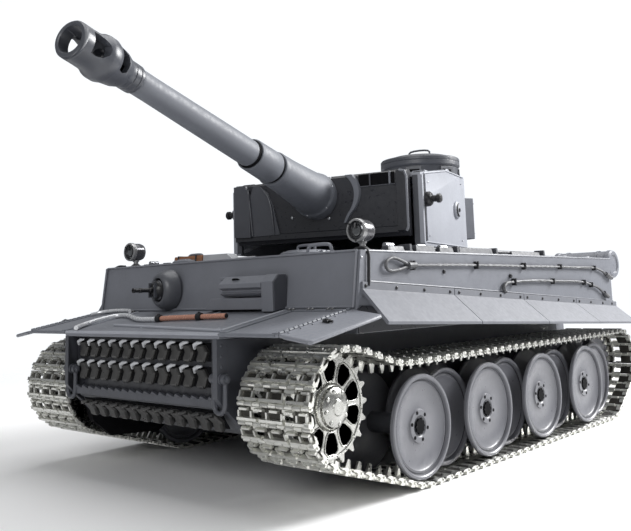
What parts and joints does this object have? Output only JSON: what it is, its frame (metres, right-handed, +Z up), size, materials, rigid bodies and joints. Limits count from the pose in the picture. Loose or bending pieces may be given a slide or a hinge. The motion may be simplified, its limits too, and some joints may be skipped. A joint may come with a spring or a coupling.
{
  "type": "radio-controlled tank",
  "caption": "Scale model heavy tank with interleaved road wheels, sprocket-driven track bands, a traversing turret, an elevating and recoiling long gun with muzzle brake, and opening hatches",
  "frame": {"origin": "on the ground, under the middle of the whole tank's bounding box with the gun as stored (turned to the left and raised)", "axes": "the tank faces -Y, its own left side is +X, up is +Z"},
  "size_m": [0.2316, 0.4562, 0.1961],
  "materials": {
    "grey_paint": "blue-grey sprayed matt paint over moulded plastic",
    "dark_grey_paint": "darker blue-grey matt paint",
    "track_metal": "cast zinc alloy, darkened, with bright worn edges",
    "sprocket_metal": "bright bare cast metal",
    "black_plastic": "black moulded plastic",
    "battery_wrap": "blue shrink sleeve",
    "board_green": "green circuit board"
  },
  "bodies": {
    "hull": {"lower_hull": "dark_grey_paint", "upper_hull": "grey_paint", "engine_deck": "grey_paint", "driver_visor": "grey_paint", "mg_ball_housing": "grey_paint", "spare_tracks_upper": "track_metal", "spare_tracks_lower": "track_metal", "twin_gearbox": "black_plastic", "battery_pack": "battery_wrap", "circuit_board": "board_green", "left_side_skirt": "grey_paint", "left_front_fender": "grey_paint", "left_headlight": "grey_paint", "left_exhaust": "dark_grey_paint", "left_air_filter": "grey_paint", "left_track": "track_metal", "right_side_skirt": "grey_paint", "right_front_fender": "grey_paint", "right_headlight": "grey_paint", "right_exhaust": "dark_grey_paint", "right_air_filter": "grey_paint", "right_track": "track_metal"},
    "turret": {"turret_shell": "grey_paint", "turret_ring": "black_plastic", "stowage_bin": "grey_paint", "cupola": "grey_paint"},
    "gun": {"mantlet": "dark_grey_paint", "bb_unit": "black_plastic"},
    "barrel": {"gun_barrel": "grey_paint", "muzzle_brake": "grey_paint"},
    "commander_lid": {"commander_hatch": "grey_paint"},
    "loader_lid": {"loader_hatch": "grey_paint"},
    "driver_lid": {"driver_hatch": "grey_paint"},
    "radio_lid": {"radio_hatch": "grey_paint"},
    "bow_ball": {"bow_mg_ball": "dark_grey_paint"},
    "bow_gun": {"bow_mg_barrel": "black_plastic"},
    "left_flap": {"left_fender_flap": "grey_paint"},
    "left_shackle_bow": {"left_shackle": "dark_grey_paint"},
    "left_drive": {"left_sprocket": "sprocket_metal"},
    "left_wheel_1": {"left_road_wheel_1": "grey_paint"},
    "left_wheel_2": {"left_road_wheel_2": "grey_paint"},
    "left_wheel_3": {"left_road_wheel_3": "grey_paint"},
    "left_wheel_4": {"left_road_wheel_4": "grey_paint"},
    "left_wheel_5": {"left_road_wheel_5": "grey_paint"},
    "left_wheel_6": {"left_road_wheel_6": "grey_paint"},
    "left_wheel_7": {"left_road_wheel_7": "grey_paint"},
    "left_wheel_8": {"left_road_wheel_8": "grey_paint"},
    "left_idler_wheel": {"left_idler": "grey_paint"},
    "right_flap": {"right_fender_flap": "grey_paint"},
    "right_shackle_bow": {"right_shackle": "dark_grey_paint"},
    "right_drive": {"right_sprocket": "sprocket_metal"},
    "right_wheel_1": {"right_road_wheel_1": "grey_paint"},
    "right_wheel_2": {"right_road_wheel_2": "grey_paint"},
    "right_wheel_3": {"right_road_wheel_3": "grey_paint"},
    "right_wheel_4": {"right_road_wheel_4": "grey_paint"},
    "right_wheel_5": {"right_road_wheel_5": "grey_paint"},
    "right_wheel_6": {"right_road_wheel_6": "grey_paint"},
    "right_wheel_7": {"right_road_wheel_7": "grey_paint"},
    "right_wheel_8": {"right_road_wheel_8": "grey_paint"},
    "right_idler_wheel": {"right_idler": "grey_paint"}
  },
  "joints": [
    {"name": "turret_traverse", "type": "hinge", "parent": "hull", "child": "turret", "pos_m": [0, 0.05035, 0.114], "axis": [0, 0, 1], "range_deg": [-170, 150]},
    {"name": "gun_elevation", "type": "hinge", "parent": "turret", "child": "gun", "pos_m": [0.01124, 0.00657, 0.1403], "axis": [-0.9686, -0.2487, 0], "range_deg": [-12, 3]},
    {"name": "barrel_recoil", "type": "slide", "parent": "gun", "child": "barrel", "axis": [-0.2438, 0.9495, -0.1977], "range_m": [0, 0.008], "stiffness_N_per_m": 200, "springref_m": -0.004},
    {"name": "commander_hatch_hinge", "type": "hinge", "parent": "turret", "child": "commander_lid", "pos_m": [0.01695, 0.09693, 0.1835], "axis": [-0.9686, -0.2487, 0], "range_deg": [0, 105]},
    {"name": "loader_hatch_hinge", "type": "hinge", "parent": "turret", "child": "loader_lid", "pos_m": [-0.02692, 0.03054, 0.167], "axis": [0.9686, 0.2487, 0], "range_deg": [0, 105]},
    {"name": "driver_hatch_hinge", "type": "hinge", "parent": "hull", "child": "driver_lid", "pos_m": [0.06, -0.06945, 0.113], "axis": [0, 1, 0], "range_deg": [0, 110]},
    {"name": "radio_hatch_hinge", "type": "hinge", "parent": "hull", "child": "radio_lid", "pos_m": [-0.06, -0.06945, 0.113], "axis": [0, -1, 0], "range_deg": [0, 110]},
    {"name": "bow_mg_yaw", "type": "hinge", "parent": "hull", "child": "bow_ball", "pos_m": [-0.0334, -0.10485, 0.0966], "axis": [0, 0, 1], "range_deg": [-15, 15]},
    {"name": "bow_mg_pitch", "type": "hinge", "parent": "bow_ball", "child": "bow_gun", "pos_m": [-0.0334, -0.10485, 0.0966], "axis": [-1, 0, 0], "range_deg": [-10, 12]},
    {"name": "left_flap_hinge", "type": "hinge", "parent": "hull", "child": "left_flap", "pos_m": [0.098, -0.14655, 0.0761], "axis": [0, -0.9842, -0.1773], "range_deg": [0, 150]},
    {"name": "left_shackle_swing", "type": "hinge", "parent": "hull", "child": "left_shackle_bow", "pos_m": [0.059, -0.14395, 0.0563], "axis": [1, 0, 0], "range_deg": [-60, 5]},
    {"name": "left_sprocket_spin", "type": "hinge", "parent": "hull", "child": "left_drive", "pos_m": [0.087, -0.11575, 0.0436], "axis": [1, 0, 0], "continuous": true},
    {"name": "left_wheel_1_spin", "type": "hinge", "parent": "hull", "child": "left_wheel_1", "pos_m": [0.087, -0.05745, 0.0278], "axis": [1, 0, 0], "continuous": true},
    {"name": "left_wheel_2_spin", "type": "hinge", "parent": "hull", "child": "left_wheel_2", "pos_m": [0.087, -0.02525, 0.0278], "axis": [1, 0, 0], "continuous": true},
    {"name": "left_wheel_3_spin", "type": "hinge", "parent": "hull", "child": "left_wheel_3", "pos_m": [0.087, 0.00695, 0.0278], "axis": [1, 0, 0], "continuous": true},
    {"name": "left_wheel_4_spin", "type": "hinge", "parent": "hull", "child": "left_wheel_4", "pos_m": [0.087, 0.03915, 0.0278], "axis": [1, 0, 0], "continuous": true},
    {"name": "left_wheel_5_spin", "type": "hinge", "parent": "hull", "child": "left_wheel_5", "pos_m": [0.087, 0.07135, 0.0278], "axis": [1, 0, 0], "continuous": true},
    {"name": "left_wheel_6_spin", "type": "hinge", "parent": "hull", "child": "left_wheel_6", "pos_m": [0.087, 0.10355, 0.0278], "axis": [1, 0, 0], "continuous": true},
    {"name": "left_wheel_7_spin", "type": "hinge", "parent": "hull", "child": "left_wheel_7", "pos_m": [0.087, 0.13575, 0.0278], "axis": [1, 0, 0], "continuous": true},
    {"name": "left_wheel_8_spin", "type": "hinge", "parent": "hull", "child": "left_wheel_8", "pos_m": [0.087, 0.16795, 0.0278], "axis": [1, 0, 0], "continuous": true},
    {"name": "left_idler_spin", "type": "hinge", "parent": "hull", "child": "left_idler_wheel", "pos_m": [0.087, 0.19555, 0.0385], "axis": [1, 0, 0], "continuous": true},
    {"name": "right_flap_hinge", "type": "hinge", "parent": "hull", "child": "right_flap", "pos_m": [-0.098, -0.14655, 0.0761], "axis": [0, 0.9842, 0.1773], "range_deg": [0, 150]},
    {"name": "right_shackle_swing", "type": "hinge", "parent": "hull", "child": "right_shackle_bow", "pos_m": [-0.059, -0.14395, 0.0563], "axis": [1, 0, 0], "range_deg": [-60, 5]},
    {"name": "right_sprocket_spin", "type": "hinge", "parent": "hull", "child": "right_drive", "pos_m": [-0.087, -0.11575, 0.0436], "axis": [1, 0, 0], "continuous": true},
    {"name": "right_wheel_1_spin", "type": "hinge", "parent": "hull", "child": "right_wheel_1", "pos_m": [-0.087, -0.05745, 0.0278], "axis": [1, 0, 0], "continuous": true},
    {"name": "right_wheel_2_spin", "type": "hinge", "parent": "hull", "child": "right_wheel_2", "pos_m": [-0.087, -0.02525, 0.0278], "axis": [1, 0, 0], "continuous": true},
    {"name": "right_wheel_3_spin", "type": "hinge", "parent": "hull", "child": "right_wheel_3", "pos_m": [-0.087, 0.00695, 0.0278], "axis": [1, 0, 0], "continuous": true},
    {"name": "right_wheel_4_spin", "type": "hinge", "parent": "hull", "child": "right_wheel_4", "pos_m": [-0.087, 0.03915, 0.0278], "axis": [1, 0, 0], "continuous": true},
    {"name": "right_wheel_5_spin", "type": "hinge", "parent": "hull", "child": "right_wheel_5", "pos_m": [-0.087, 0.07135, 0.0278], "axis": [1, 0, 0], "continuous": true},
    {"name": "right_wheel_6_spin", "type": "hinge", "parent": "hull", "child": "right_wheel_6", "pos_m": [-0.087, 0.10355, 0.0278], "axis": [1, 0, 0], "continuous": true},
    {"name": "right_wheel_7_spin", "type": "hinge", "parent": "hull", "child": "right_wheel_7", "pos_m": [-0.087, 0.13575, 0.0278], "axis": [1, 0, 0], "continuous": true},
    {"name": "right_wheel_8_spin", "type": "hinge", "parent": "hull", "child": "right_wheel_8", "pos_m": [-0.087, 0.16795, 0.0278], "axis": [1, 0, 0], "continuous": true},
    {"name": "right_idler_spin", "type": "hinge", "parent": "hull", "child": "right_idler_wheel", "pos_m": [-0.087, 0.19555, 0.0385], "axis": [1, 0, 0], "continuous": true}
  ],
  "couplings": [
    {"joint": "left_wheel_1_spin", "follows": "left_sprocket_spin", "ratio": 1.0122},
    {"joint": "left_wheel_2_spin", "follows": "left_sprocket_spin", "ratio": 1.0122},
    {"joint": "left_wheel_3_spin", "follows": "left_sprocket_spin", "ratio": 1.0122},
    {"joint": "left_wheel_4_spin", "follows": "left_sprocket_spin", "ratio": 1.0122},
    {"joint": "left_wheel_5_spin", "follows": "left_sprocket_spin", "ratio": 1.0122},
    {"joint": "left_wheel_6_spin", "follows": "left_sprocket_spin", "ratio": 1.0122},
    {"joint": "left_wheel_7_spin", "follows": "left_sprocket_spin", "ratio": 1.0122},
    {"joint": "left_wheel_8_spin", "follows": "left_sprocket_spin", "ratio": 1.0122},
    {"joint": "left_idler_spin", "follows": "left_sprocket_spin", "ratio": 1.3405},
    {"joint": "right_wheel_1_spin", "follows": "right_sprocket_spin", "ratio": 1.0122},
    {"joint": "right_wheel_2_spin", "follows": "right_sprocket_spin", "ratio": 1.0122},
    {"joint": "right_wheel_3_spin", "follows": "right_sprocket_spin", "ratio": 1.0122},
    {"joint": "right_wheel_4_spin", "follows": "right_sprocket_spin", "ratio": 1.0122},
    {"joint": "right_wheel_5_spin", "follows": "right_sprocket_spin", "ratio": 1.0122},
    {"joint": "right_wheel_6_spin", "follows": "right_sprocket_spin", "ratio": 1.0122},
    {"joint": "right_wheel_7_spin", "follows": "right_sprocket_spin", "ratio": 1.0122},
    {"joint": "right_wheel_8_spin", "follows": "right_sprocket_spin", "ratio": 1.0122},
    {"joint": "right_idler_spin", "follows": "right_sprocket_spin", "ratio": 1.3405}
  ]
}
